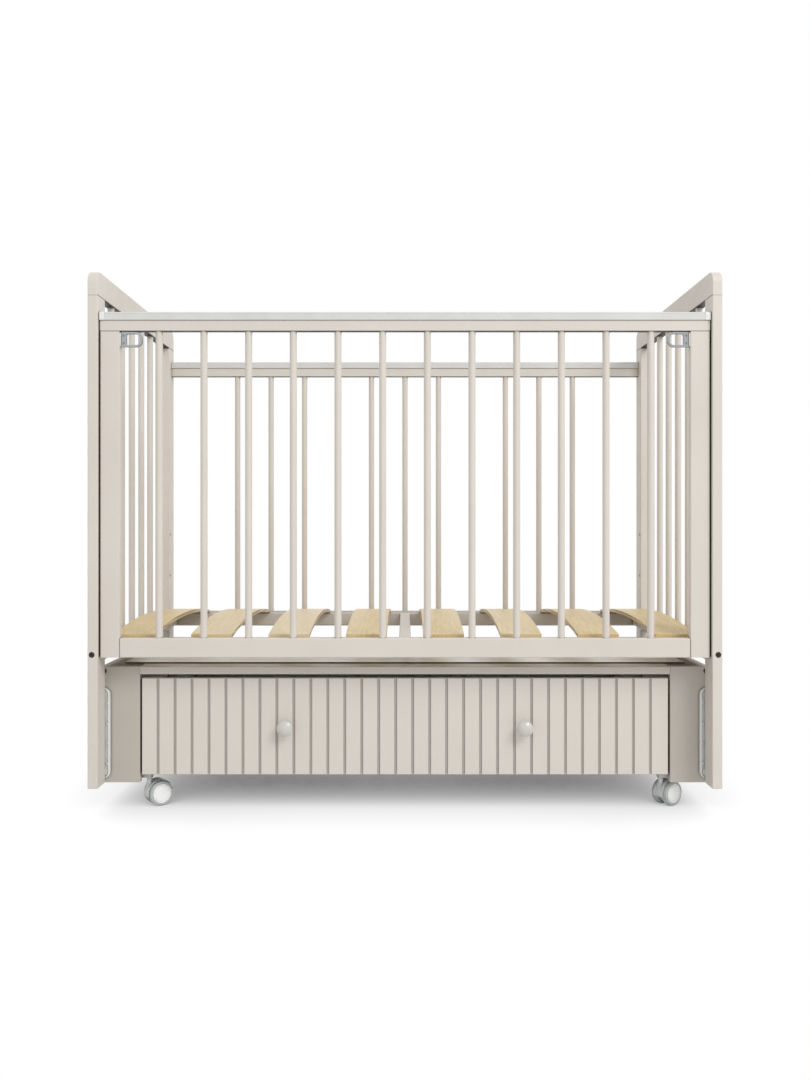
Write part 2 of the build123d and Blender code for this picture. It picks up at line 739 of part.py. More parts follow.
with BuildPart() as base_sides:
    for side, side_name in SIDES:
        with BuildSketch(Plane.XZ.offset(-y_board_inner)):
            with Locations((side * x_side_board, (base_top + base_bottom) / 2)):
                RectangleRounded(base_board_thickness, base_top - base_bottom, board_edge)
        extrude(amount=2 * y_board_inner)
    for side, side_name in SIDES:
        for end, end_name in ENDS:
            for height in base_bolt_heights:
                bolt_hole(base_bolt_face(side, end, height), base_bolt_length)
save(base_sides.part, "base_sides")

with BuildPart() as base_rails:
    for end, end_name in ENDS:
        with BuildSketch(Plane.YZ.offset(-board_inner)):
            with Locations((end * (y_base - base_rail_depth / 2), base_top - base_rail_thickness / 2)):
                RectangleRounded(base_rail_depth, base_rail_thickness, board_edge)
        extrude(amount=2 * board_inner)
save(base_rails.part, "base_rails")

with BuildPart() as drawer_runners:
    for side, side_name in SIDES:
        with BuildSketch(Plane.XZ.offset(-runner_end)):
            x_runner = side * (runner_inner + side_board_inner) / 2
            with Locations((x_runner, runner_bottom + runner_thickness / 2)):
                Rectangle(side_board_inner - runner_inner, runner_thickness)
        extrude(amount=2 * runner_end)
    socket_radius_outer = stem_diameter / 2 + running_gap + socket_wall
    with BuildSketch(Plane.XY.offset(runner_bottom)):
        with Locations(*[(s * caster_x, e * y_caster) for s, sn in SIDES for e, en in ENDS]):
            Circle(socket_radius_outer + glue_gap)
    extrude(amount=runner_thickness, mode=Mode.SUBTRACT)
save(drawer_runners.part, "drawer_runners")

# White sheet that keeps dust off the drawer
with BuildPart() as dust_cover:
    with BuildSketch(Plane.XY.offset(base_top)):
        Rectangle(2 * (board_inner + dust_cover_overlap), 2 * (y_base - dust_cover_setback))
    extrude(amount=dust_cover_thickness)
save(dust_cover.part, "dust_cover")

base_bolt_list = []
for side, side_name in SIDES:
    for end, end_name in ENDS:
        for height in base_bolt_heights:
            base_bolt_list.append(bolt(base_bolt_face(side, end, height), base_bolt_length))
save(Compound(children=base_bolt_list), "base_bolts")


def pivot_pin(seat, side_gap):
    """A pivot pin whose shank goes into the board behind the seat plane and whose journal stands out."""
    journal = side_gap + arm_thickness - pivot_head_recess
    with BuildPart(mode=Mode.PRIVATE) as pin:
        with BuildSketch(seat):
            Circle(pivot_shank / 2)
        extrude(amount=-(pivot_shank_length - hole_end_gap))
        with BuildSketch(seat):
            Circle(pivot_collar / 2)
        extrude(amount=side_gap - slide_gap)
        with BuildSketch(seat):
            Circle(pivot_diameter / 2)
        extrude(amount=journal)
        with BuildSketch(seat.offset(journal)):
            Circle(pivot_head / 2)
        extrude(amount=pivot_head_thickness)
    return pin.part


# Pivot pins: upper ones in the base, lower ones in the crib's posts
upper_gap = y_arm_inner - y_base
upper_pins = []
lower_pins = []
for side, side_name in SIDES:
    for end, end_name in ENDS:
        upper_seat = Plane(origin=(side * arm_x, end * y_base, arm_upper_pivot), z_dir=(0, end, 0))
        lower_seat = Plane(origin=(side * arm_x, end * y_post_inner, arm_lower_pivot), z_dir=(0, -end, 0))
        upper_pins.append(pivot_pin(upper_seat, upper_gap))
        lower_pins.append(pivot_pin(lower_seat, arm_gap))
save(Compound(children=upper_pins), "arm_upper_pins")
save(Compound(children=lower_pins), "arm_lower_pins")

# Swing arms: a ribbed link with a rim, a thin web and a boss round each pivot
arm_half = arm_thickness / 2
for side, side_name in SIDES:
    for end, end_name in ENDS:
        y_arm = end * (y_arm_outer + y_arm_inner) / 2
        middle = arm_upper_pivot - arm_pivot_spacing / 2
        # the local x runs to the crib's middle, the local y up
        mid_plane = Plane(origin=(side * arm_x, y_arm, middle), x_dir=(-side, 0, 0), z_dir=(0, side, 0))
        pivots = [(0, arm_pivot_spacing / 2), (0, -arm_pivot_spacing / 2)]
        with BuildPart() as swing_arm:
            with BuildSketch(mid_plane):
                SlotCenterToCenter(arm_pivot_spacing, 2 * arm_radius, rotation=90)
            extrude(amount=arm_half, both=True)
            for facing in (-1, 1):
                with BuildSketch(mid_plane.offset(facing * arm_half)):
                    SlotCenterToCenter(arm_pivot_spacing, 2 * (arm_radius - arm_rim), rotation=90)
                    with Locations(*pivots):
                        Circle(arm_boss, mode=Mode.SUBTRACT)
                    for half in (1, -1):
                        near, far, last = [half * (arm_pivot_spacing / 2 - down) for down in arm_rib_points]
                        reach = arm_radius - arm_rim / 2
                        for start, stop in ((near, far), (last, far)):
                            rise = stop - start
                            with Locations((0, (start + stop) / 2)):
                                Rectangle(
                                    hypot(2 * reach, rise) + arm_rim,
                                    arm_rib,
                                    rotation=degrees(atan2(rise, -2 * reach)),
                                    mode=Mode.SUBTRACT,
                                )
                extrude(amount=-facing * (arm_thickness - arm_web) / 2, mode=Mode.SUBTRACT)
            with BuildSketch(mid_plane.offset(-arm_half)):
                with Locations(*pivots):
                    Circle(pivot_diameter / 2 + running_gap)
                with Locations((0, 0)):
                    Circle(arm_middle_hole / 2)
            extrude(amount=arm_thickness, mode=Mode.SUBTRACT)
            # recesses for the pin heads, one on each face
            outward = end * side
            with BuildSketch(mid_plane.offset(outward * arm_half)):
                with Locations(pivots[0]):
                    Circle(pivot_head / 2 + slide_gap)
            extrude(amount=-outward * pivot_head_recess, mode=Mode.SUBTRACT)
            with BuildSketch(mid_plane.offset(-outward * arm_half)):
                with Locations(pivots[1]):
                    Circle(pivot_head / 2 + slide_gap)
            extrude(amount=outward * pivot_head_recess, mode=Mode.SUBTRACT)
        save(swing_arm.part, f"swing_arm_{end_name}_{side_name}")

# Drawer front with vertical grooves
groove_pitch = drawer_front_width / (drawer_groove_count + 1)
groove_places = [place + drawer_groove_shift for place in row(drawer_groove_count, groove_pitch)]
with BuildPart() as drawer_front:
    with BuildSketch(Plane.XY.offset(drawer_front_bottom)):
        with Locations((0, -y_drawer_front + drawer_front_thickness / 2)):
            Rectangle(drawer_front_width, drawer_front_thickness)
    extrude(amount=drawer_front_height)
    chamfer(drawer_front.faces().sort_by(Axis.Y)[0].edges(), board_edge / 2)
    with BuildSketch(Plane.XY.offset(drawer_front_bottom)):
        with Locations(*[(place, -y_drawer_front) for place in groove_places]):
            with BuildLine(mode=Mode.PRIVATE) as groove_line:
                Polyline(
                    (-drawer_groove_width / 2, -cut_overrun),
                    (-drawer_groove_width / 2, 0),
                    (-drawer_groove_floor / 2, drawer_groove_depth),
                    (drawer_groove_floor / 2, drawer_groove_depth),
                    (drawer_groove_width / 2, 0),
                    (drawer_groove_width / 2, -cut_overrun),
                    close=True,
                )
            add(make_face(groove_line.line.edges(), mode=Mode.PRIVATE))
    extrude(amount=drawer_front_height, mode=Mode.SUBTRACT)
    # groove for the bottom panel in the rear face
    with BuildSketch(Plane.XY.offset(drawer_panel_bottom - glue_gap)):
        with Locations((0, -y_drawer_box)):
            Rectangle(2 * drawer_side_inner, 2 * drawer_tongue)
    extrude(amount=drawer_panel + 2 * glue_gap, mode=Mode.SUBTRACT)
save(drawer_front.part, "drawer_front")

drawer_centre_y = -(y_drawer_box + y_drawer_back) / 2
panel_centre_y = -(y_drawer_box + y_drawer_back + drawer_wall) / 2
panel_groove = drawer_panel + 2 * glue_gap
with BuildPart() as drawer_sides:
    for side, side_name in SIDES:
        with BuildSketch(Plane.XY.offset(drawer_floor)):
            with Locations((side * (drawer_side_outer - drawer_wall / 2), drawer_centre_y)):
                Rectangle(drawer_wall, drawer_depth)
        extrude(amount=drawer_side_height)
    with BuildSketch(Plane.XY.offset(drawer_panel_bottom - glue_gap)):
        with Locations((0, drawer_centre_y)):
            Rectangle(2 * (drawer_side_inner + drawer_tongue), drawer_depth)
    extrude(amount=panel_groove, mode=Mode.SUBTRACT)
save(drawer_sides.part, "drawer_sides")

with BuildPart() as drawer_back:
    with BuildSketch(Plane.XY.offset(drawer_floor)):
        with Locations((0, -(y_drawer_back + drawer_wall / 2))):
            Rectangle(2 * drawer_side_inner, drawer_wall)
    extrude(amount=drawer_side_height)
    with BuildSketch(Plane.XY.offset(drawer_panel_bottom - glue_gap)):
        with Locations((0, -(y_drawer_back + drawer_wall))):
            Rectangle(2 * drawer_side_inner, 2 * drawer_tongue)
    extrude(amount=panel_groove, mode=Mode.SUBTRACT)
save(drawer_back.part, "drawer_back")

panel_reach = drawer_tongue - slide_gap
with BuildPart() as drawer_bottom:
    with BuildSketch(Plane.XY.offset(drawer_panel_bottom)):
        with Locations((0, panel_centre_y)):
            Rectangle(2 * (drawer_side_inner + panel_reach), drawer_depth - drawer_wall)
        with Locations((0, panel_centre_y)):
            Rectangle(2 * (drawer_side_inner - slide_gap), drawer_depth - drawer_wall + 2 * panel_reach)
    extrude(amount=drawer_panel)
save(drawer_bottom.part, "drawer_bottom")

# Knobs: a turned mushroom with a foot ring, a waist and a domed head
head_back = knob_length - knob_head
head_front = head_back + knob_rim
neck_top = head_back - knob_flare
dome_radius = knob_diameter / 2 - knob_rim / 4
dome_rise = knob_length - head_front
knob_list = []
for side, side_name in SIDES:
    foot_centre = (side * knob_spacing / 2, -y_drawer_front, knob_height)
    with BuildPart(mode=Mode.PRIVATE) as knob:
        with BuildSketch(Plane(origin=foot_centre, x_dir=(0, 0, 1), z_dir=(1, 0, 0))):
            with BuildLine():
                Polyline(
                    (0, 0),
                    (knob_foot / 2, 0),
                    (knob_foot / 2, knob_foot_height),
                    (knob_neck / 2, knob_foot_top),
                    (knob_neck / 2, neck_top),
                )
                RadiusArc((knob_neck / 2, neck_top), (dome_radius, head_back), -knob_flare_radius)
                RadiusArc((dome_radius, head_back), (dome_radius, head_front), -knob_edge_radius)
                RadiusArc(
                    (dome_radius, head_front),
                    (0, knob_length),
                    -(dome_radius**2 + dome_rise**2) / (2 * dome_rise),
                )
                Line((0, knob_length), (0, 0))
            make_face()
        revolve(axis=Axis(foot_centre, (0, -1, 0)))
    knob_list.append(knob.part)
save(Compound(children=knob_list), "drawer_knobs")

# Sockets for the caster stems, let into the runners
socket_list = []
for side, side_name in SIDES:
    for end, end_name in ENDS:
        foot = Plane(origin=(side * caster_x, end * y_caster, runner_bottom), z_dir=(0, 0, 1))
        with BuildPart(mode=Mode.PRIVATE) as socket:
            with BuildSketch(foot):
                Circle(socket_radius_outer)
            extrude(amount=runner_thickness)
            with BuildSketch(foot):
                Circle(socket_flange / 2)
            extrude(amount=-socket_flange_thickness)
            with BuildSketch(foot.offset(-socket_flange_thickness)):
                Circle(stem_diameter / 2 + running_gap)
            extrude(amount=socket_flange_thickness + runner_thickness - hole_end_gap, mode=Mode.SUBTRACT)
        socket_list.append(socket.part)
save(Compound(children=socket_list), "caster_sockets")

# Casters, all turned alike
# Local x runs from the stem back to the wheels, local y up, local z along the axle.
roll = Vector(cos(radians(caster_yaw)), sin(radians(caster_yaw)), 0)
axle_dir = Vector(sin(radians(caster_yaw)), -cos(radians(caster_yaw)), 0)
braked = (("front", "left"), ("rear", "right"))
body_half = caster_body_width / 2
boss_foot = Plane.XY.offset(wheel_radius + boss_rise)
slot_start = pedal_pivot_back - pedal_boss / 2 - slide_gap
for side, side_name in SIDES:
    for end, end_name in ENDS:
        stem = Vector(side * caster_x, end * y_caster, wheel_radius)
        hub = Plane(origin=stem + roll * caster_trail, x_dir=roll, z_dir=axle_dir)
        corner = f"{end_name}_{side_name}"
        with BuildPart() as caster_body:
            # cheek between the wheels, round the axle and under the stem
            with BuildSketch(hub):
                Circle(wheel_radius - cheek_setback)
                with Locations((-caster_trail, cheek_rise)):
                    Rectangle(stem_boss, cheek_height)
                with Locations((-caster_trail / 2, cheek_rise)):
                    Rectangle(caster_trail, cheek_height)
            extrude(amount=body_half, both=True)
            # hood over the wheels
            with BuildSketch(hub):
                Circle(hood_radius)
                Circle(hood_radius - hood_thickness, mode=Mode.SUBTRACT)
                with BuildSketch(mode=Mode.INTERSECT):
                    with BuildLine():
                        start = (-hood_sector * cos(radians(hood_from)), hood_sector * sin(radians(hood_from)))
                        stop = (-hood_sector * cos(radians(hood_to)), hood_sector * sin(radians(hood_to)))
                        corners = [(-hood_sector, hood_sector), (hood_sector, hood_sector)]
                        Polyline((0, 0), start, *corners, stop, close=True)
                    make_face()
            extrude(amount=hood_width / 2, both=True)
            # rib that ties the cheek to the hood
            with BuildSketch(hub):
                with BuildLine():
                    Polyline(
                        (-hood_radius + hood_thickness, 0),
                        (-caster_trail, 0),
                        (0, wheel_radius - rib_setback),
                        (0, hood_radius - hood_thickness / 2),
                        (-caster_trail, (hood_radius**2 - caster_trail**2) ** 0.5 - hood_thickness),
                        close=True,
                    )
                make_face()
            extrude(amount=body_half, both=True)
            # round boss and stem
            with BuildSketch(boss_foot):
                with Locations((stem.X, stem.Y)):
                    Circle(stem_boss / 2)
            extrude(amount=runner_bottom - socket_flange_thickness - slide_gap - wheel_radius - boss_rise)
            with BuildSketch(boss_foot):
                with Locations((stem.X, stem.Y)):
                    Circle(stem_diameter / 2)
            extrude(amount=runner_bottom + stem_length - wheel_radius - boss_rise)
            with BuildSketch(hub.offset(-body_half)):
                Circle(axle_diameter / 2 + running_gap)
            extrude(amount=2 * body_half, mode=Mode.SUBTRACT)
            if (end_name, side_name) in braked:
                # slot for the pedal, with its pivot holes in the two cheeks
                with BuildSketch(hub):
                    with Locations((slot_start + wheel_radius / 2, pedal_pivot_up - pedal_slot_drop)):
                        Rectangle(wheel_radius, pedal_slot_height)
                    Circle(hood_radius - hood_thickness, mode=Mode.INTERSECT)
                extrude(amount=pedal_width / 2 + slide_gap, both=True, mode=Mode.SUBTRACT)
                with BuildSketch(hub.offset(-body_half)):
                    with Locations((pedal_pivot_back, pedal_pivot_up)):
                        Circle(pedal_trunnion / 2 + running_gap)
                extrude(amount=2 * body_half, mode=Mode.SUBTRACT)
        save(caster_body.part, f"caster_body_{corner}")

        if (end_name, side_name) in braked:
            tab_top = pedal_pivot_up - pedal_tab_drop
            with BuildPart() as brake_pedal:
                with BuildSketch(hub):
                    with BuildLine():
                        Polyline(
                            (pedal_pivot_back, pedal_pivot_up + pedal_boss / 2),
                            (pedal_pivot_back + pedal_boss, pedal_pivot_up + pedal_boss / 4),
                            (pedal_tab_start, tab_top + pedal_tab_lap),
                            (pedal_tab_start, tab_top + pedal_tab_lap - pedal_thickness),
                            (pedal_pivot_back, pedal_pivot_up - pedal_boss / 2),
                            close=True,
                        )
                    make_face()
                    with Locations((pedal_pivot_back, pedal_pivot_up)):
                        Circle(pedal_boss / 2)
                extrude(amount=pedal_width / 2, both=True)
                with BuildSketch(hub):
                    with Locations(((pedal_tab_start + pedal_reach) / 2, tab_top - pedal_tab_lap)):
                        tab_height = pedal_thickness + pedal_tab_lap
                        RectangleRounded(pedal_reach - pedal_tab_start, tab_height, pedal_tab_corner)
                extrude(amount=pedal_tab_width / 2, both=True)
                with BuildSketch(hub):
                    with Locations((pedal_pivot_back, pedal_pivot_up)):
                        Circle(pedal_trunnion / 2)
                extrude(amount=body_half, both=True)
            save(brake_pedal.part, f"brake_pedal_{corner}")

        # twin wheels: hub with a dished face inside a soft tread, and the axle between them
        wheel_outer = wheels_over_all / 2
        wheel_inner = wheel_outer - wheel_width
        wheel_list = []
        for face in (1, -1):
            with BuildPart(mode=Mode.PRIVATE) as wheel:
                with BuildSketch(Plane(origin=hub.origin, x_dir=roll, z_dir=hub.y_dir)):
                    with BuildLine():
                        Polyline(
                            (axle_diameter / 2 + running_gap / 2, -face * wheel_inner),
                            (wheel_radius - tyre_round, -face * wheel_inner),
                            (wheel_radius, -face * (wheel_inner + tyre_round)),
                            (wheel_radius, -face * (wheel_outer - tyre_round)),
                            (wheel_radius - tyre_round, -face * wheel_outer),
                            (wheel_hub / 2, -face * wheel_outer),
                            (wheel_hub / 2, -face * (wheel_outer - wheel_dish)),
                            (wheel_hub / 2 - wheel_ring, -face * (wheel_outer - wheel_dish)),
                            (wheel_hub / 2 - wheel_ring - wheel_ring_slope, -face * wheel_outer),
                            (0, -face * wheel_outer),
                            (0, -face * (wheel_outer - axle_seat)),
                            (axle_diameter / 2 + running_gap / 2, -face * (wheel_outer - axle_seat)),
                            close=True,
                        )
                    make_face()
                revolve(axis=Axis(hub.origin, hub.z_dir))
            wheel_list.append(wheel.part)
        with BuildPart(mode=Mode.PRIVATE) as axle:
            with BuildSketch(hub):
                Circle(axle_diameter / 2)
            extrude(amount=wheel_outer - axle_seat - slide_gap, both=True)
        wheel_list.append(axle.part)
        save(Compound(children=wheel_list), f"caster_wheels_{corner}")
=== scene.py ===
"""Looks of a child's crib: a drop side, a slatted mattress base, and swing arms over a base with a drawer.

Metres. X runs along the crib to the right, Y to the rear and Z up from the floor.
"""

import json
import logging
import math
from dataclasses import dataclass, field
from enum import Enum
from typing import Any

import bmesh
import bpy
from mathutils import Matrix, Vector

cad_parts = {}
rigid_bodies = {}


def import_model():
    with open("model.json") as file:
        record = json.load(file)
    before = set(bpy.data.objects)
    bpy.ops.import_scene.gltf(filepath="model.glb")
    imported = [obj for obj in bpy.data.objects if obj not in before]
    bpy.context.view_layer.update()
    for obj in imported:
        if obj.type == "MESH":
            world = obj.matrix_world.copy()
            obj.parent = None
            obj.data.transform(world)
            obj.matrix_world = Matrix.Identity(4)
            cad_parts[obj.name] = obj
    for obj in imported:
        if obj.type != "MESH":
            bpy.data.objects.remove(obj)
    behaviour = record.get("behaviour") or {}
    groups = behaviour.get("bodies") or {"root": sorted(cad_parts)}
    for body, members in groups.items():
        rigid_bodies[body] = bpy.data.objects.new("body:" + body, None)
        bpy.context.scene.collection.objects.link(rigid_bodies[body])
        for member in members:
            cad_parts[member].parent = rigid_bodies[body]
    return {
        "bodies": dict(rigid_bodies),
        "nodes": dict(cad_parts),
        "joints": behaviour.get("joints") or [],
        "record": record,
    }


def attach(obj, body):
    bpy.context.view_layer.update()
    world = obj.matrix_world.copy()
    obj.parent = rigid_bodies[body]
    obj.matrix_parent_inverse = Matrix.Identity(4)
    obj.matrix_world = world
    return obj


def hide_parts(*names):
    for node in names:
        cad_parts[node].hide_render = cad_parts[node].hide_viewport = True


log = logging.getLogger("crib")

MM = 0.001
SIDES = {"left": -1, "right": 1}
ENDS = {"front": -1, "rear": 1}
CORNERS = [(end, side) for end in ENDS for side in SIDES]

# Where the joints of the enamelled wood show, in metres
POST_TOP = 1.0288
STILE_TOP = 0.9591
STILE_INNER = 0.5636
GROOVE_FROM = -0.2748

# The enamel's colour in the open, and the painted shade on the underside of the top rails
TAUPE = "#DAD3CA"
PAINTED_UNDERSIDE_SHADE = "#161412"

# How open a spot is to the room in a closed corner and on an open face
CLOSED = 0.1
OPEN = 0.85

# Faces that meet at less than this many degrees look like one curve
SMOOTH_UP_TO = 32.0

# How many bands a wave pattern draws in one unit at a scale of 1, rounded
WAVE_BANDS = 20.0


def linear(colour: str) -> tuple[float, float, float, float]:
    """Turns an sRGB hex colour into linear light.

    Args:
        colour: six hex digits after a number sign.

    Returns:
        Red, green, blue and an alpha of 1.
    """
    parts = [int(colour[place : place + 2], 16) / 255 for place in (1, 3, 5)]
    light = [((part + 0.055) / 1.055) ** 2.4 if part > 0.04045 else part / 12.92 for part in parts]
    return (light[0], light[1], light[2], 1.0)


def add_node(
    tree: bpy.types.NodeTree, kind: str, inputs: dict[Any, Any] | None = None, **settings: Any
) -> bpy.types.Node:
    """Adds a node with its settings and links.

    Args:
        tree: the node tree it joins.
        kind: the node's type name.
        inputs: input name or number to a socket to link from, or to a value.
        settings: attributes set before the inputs.

    Returns:
        The new node.
    """
    node = tree.nodes.new(kind)
    for name, value in settings.items():
        setattr(node, name, value)
    for name, value in (inputs or {}).items():
        if isinstance(value, bpy.types.NodeSocket):
            tree.links.new(value, node.inputs[name])
        else:
            node.inputs[name].default_value = value
    return node


def seen_plain(tree: bpy.types.NodeTree) -> bpy.types.NodeSocket:
    """Tells where the background is looked at, straight, in metal or through glass.

    Args:
        tree: the tree of the floor or the world.

    Returns:
        1 where it is looked at, 0 where it only gives light.
    """
    path = add_node(tree, "ShaderNodeLightPath")
    straight = {0: path.outputs["Is Camera Ray"], 1: path.outputs["Is Glossy Ray"]}
    direct = add_node(tree, "ShaderNodeMath", straight, operation="MAXIMUM")
    through = {0: direct.outputs[0], 1: path.outputs["Is Transmission Ray"]}
    return add_node(tree, "ShaderNodeMath", through, operation="MAXIMUM").outputs[0]


class Grain(Enum):
    """The way the wood's fibres run, as the pattern's stretch along X, Y and Z."""

    LENGTHWISE = (0.06, 1.0, 1.0)
    CROSSWISE = (1.0, 0.06, 1.0)
    UPRIGHT = (1.0, 1.0, 0.06)
    FINE = (1.0, 0.015, 1.0)
    NONE = (1.0, 1.0, 1.0)


@dataclass(frozen=True)
class Finish:
    """What every finish shares: a name, a colour and a sheen."""

    name: str
    colour: str
    roughness: float = 0.5

    def start(self) -> tuple[bpy.types.Material, bpy.types.NodeTree, bpy.types.Node, bpy.types.Node]:
        """Makes the empty material.

        Returns:
            The material, its tree, its shader and its texture coordinates.
        """
        material = bpy.data.materials.new(self.name)
        material.use_nodes = True
        tree = material.node_tree
        tree.nodes.clear()
        surface = {"Base Color": linear(self.colour), "Roughness": self.roughness}
        shader = add_node(tree, "ShaderNodeBsdfPrincipled", surface)
        add_node(tree, "ShaderNodeOutputMaterial", {"Surface": shader.outputs[0]})
        return material, tree, shader, add_node(tree, "ShaderNodeTexCoord")

    def noise(
        self,
        tree: bpy.types.NodeTree,
        where: bpy.types.NodeSocket,
        size: float,
        detail: float = 3.0,
        grain: Grain = Grain.NONE,
    ) -> bpy.types.NodeSocket:
        """Adds a cloudy pattern.

        Args:
            tree: the material's tree.
            where: the coordinates it reads.
            size: real size of one cloud in millimetres.
            detail: how many finer layers lie over it.
            grain: the way it is stretched.

        Returns:
            The pattern's strength from 0 to 1.
        """
        turned = add_node(tree, "ShaderNodeMapping", {"Vector": where, "Scale": grain.value})
        cloud = add_node(
            tree,
            "ShaderNodeTexNoise",
            {"Vector": turned.outputs[0], "Scale": 1000.0 / size, "Detail": detail},
        )
        return cloud.outputs["Fac"]

    def spread(
        self,
        tree: bpy.types.NodeTree,
        value: bpy.types.NodeSocket,
        low: float,
        high: float,
        since: float = 0.3,
        until: float = 0.7,
    ) -> bpy.types.NodeSocket:
        """Maps a range of a value to another range.

        Args:
            tree: the material's tree.
            value: the value, most often a pattern.
            low: what it becomes at or below since.
            high: what it becomes at or above until.
            since: start of the range.
            until: end of the range.

        Returns:
            The mapped value.
        """
        node = add_node(
            tree,
            "ShaderNodeMapRange",
            {"Value": value, "From Min": since, "From Max": until, "To Min": low, "To Max": high},
        )
        return node.outputs[0]

    def blend(self, tree: bpy.types.NodeTree, amount: Any, first: Any, second: Any) -> bpy.types.NodeSocket:
        """Mixes two colours by an amount.

        Args:
            tree: the material's tree.
            amount: 0 for the first, 1 for the second.
            first: a colour or a socket.
            second: a colour or a socket.

        Returns:
            The mixed colour.
        """
        node = add_node(tree, "ShaderNodeMix", {"Factor": amount, 6: first, 7: second}, data_type="RGBA")
        return node.outputs[2]

    def paint_crease_shade(
        self, tree: bpy.types.NodeTree, colour: bpy.types.NodeSocket, reach: float, dark: float
    ) -> bpy.types.NodeSocket:
        """Paints shade into joints, gaps and inside corners, where little light comes in.

        Args:
            tree: the material's tree.
            colour: the surface's colour in the open.
            reach: how far from a corner it shows, in millimetres.
            dark: what is left of the colour in a closed corner.

        Returns:
            The darkened colour.
        """
        opening = add_node(tree, "ShaderNodeAmbientOcclusion", {"Distance": reach * MM}, samples=8)
        tone = self.spread(tree, opening.outputs["AO"], dark, 1.0, CLOSED, OPEN)
        both = {"Factor": 1.0, 6: colour, 7: tone}
        return add_node(tree, "ShaderNodeMix", both, data_type="RGBA", blend_type="MULTIPLY").outputs[2]

    def emboss(
        self,
        tree: bpy.types.NodeTree,
        shader: bpy.types.Node,
        height: bpy.types.NodeSocket,
        depth: float,
        strength: float,
    ) -> None:
        """Raises the surface by a pattern.

        Args:
            tree: the material's tree.
            shader: the shader that gets it.
            height: the pattern.
            depth: real height of the relief in millimetres.
            strength: how much of it shows, from 0 to 1.
        """
        bump = add_node(
            tree, "ShaderNodeBump", {"Height": height, "Distance": depth * MM, "Strength": strength}
        )
        tree.links.new(bump.outputs[0], shader.inputs["Normal"])


@dataclass(frozen=True)
class SatinEnamel(Finish):
    """Sprayed satin enamel on solid beech: a soft sheen, faint orange peel and a ghost of the grain."""

    shade: str = "#D3CBC2"
    grain: Grain = Grain.UPRIGHT
    # colour of the painted shade on faces turned downwards
    underside_shade: str | None = None
    reach: float = 9.0
    dark: float = 0.12
    seam: tuple[int, float] | None = None
    seam_half_width: float = 0.6
    groove_from: float | None = None

    def make(self) -> bpy.types.Material:
        """Builds the enamel, with painted shade on the faces turned downwards where the piece is given it.
        """
        material, tree, shader, coords = self.start()
        where = coords.outputs["Object"]
        # uneven film thickness over a hand's breadth
        cloud = self.spread(tree, self.noise(tree, where, 140.0), 0.0, 0.55)
        colour = self.blend(tree, cloud, linear(self.colour), linear(self.shade))
        # painted shade: faces turned downwards take a near-black colour
        if self.underside_shade:
            facing = add_node(tree, "ShaderNodeSeparateXYZ", {0: coords.outputs["Normal"]}).outputs[2]
            below = self.spread(tree, facing, 1.0, 0.0, -0.75, -0.35)
            colour = self.blend(tree, below, colour, linear(self.underside_shade))
        if self.seam:
            # the enamel breaks along a glued joint in a line about 1 mm wide
            axis, place = self.seam
            along = add_node(tree, "ShaderNodeSeparateXYZ", {0: where}).outputs[axis]
            across = add_node(tree, "ShaderNodeMath", {0: along}, operation="ABSOLUTE").outputs[0]
            near = {0: across, 1: place, 2: self.seam_half_width * MM}
            line = add_node(tree, "ShaderNodeMath", near, operation="COMPARE").outputs[0]
            colour = self.blend(tree, line, colour, linear("#877F76"))
        if self.groove_from is not None:
            # painted shade in the milled grooves: their sloping sides are coloured greyer
            depth = add_node(tree, "ShaderNodeSeparateXYZ", {0: where}).outputs[1]
            inside = self.spread(tree, depth, 0.0, 1.0, self.groove_from, self.groove_from + 0.001)
            facing = add_node(tree, "ShaderNodeSeparateXYZ", {0: coords.outputs["Normal"]}).outputs[1]
            front = add_node(tree, "ShaderNodeMath", {0: facing, 1: -0.3}, operation="LESS_THAN").outputs[0]
            groove_shade = add_node(tree, "ShaderNodeMath", {0: inside, 1: front}, operation="MULTIPLY").outputs[0]
            colour = self.blend(tree, groove_shade, colour, linear("#CBC4BB"))
        # painted shade in joints, gaps and inside corners
        colour = self.paint_crease_shade(tree, colour, self.reach, self.dark)
        tree.links.new(colour, shader.inputs["Base Color"])
        # fibres 2 mm apart telegraph through the film, with 1.3 mm orange peel over them
        fibres = self.noise(tree, where, 2.0, 4.0, self.grain)
        peel = self.noise(tree, where, 1.3, 1.0)
        relief = add_node(tree, "ShaderNodeMath", {0: fibres, 1: peel}, operation="ADD").outputs[0]
        self.emboss(tree, shader, relief, 0.05, 0.35)
        rubbed = self.noise(tree, where, 35.0)
        sheen = self.spread(tree, rubbed, self.roughness - 0.05, self.roughness + 0.06)
        tree.links.new(sheen, shader.inputs["Roughness"])
        return material


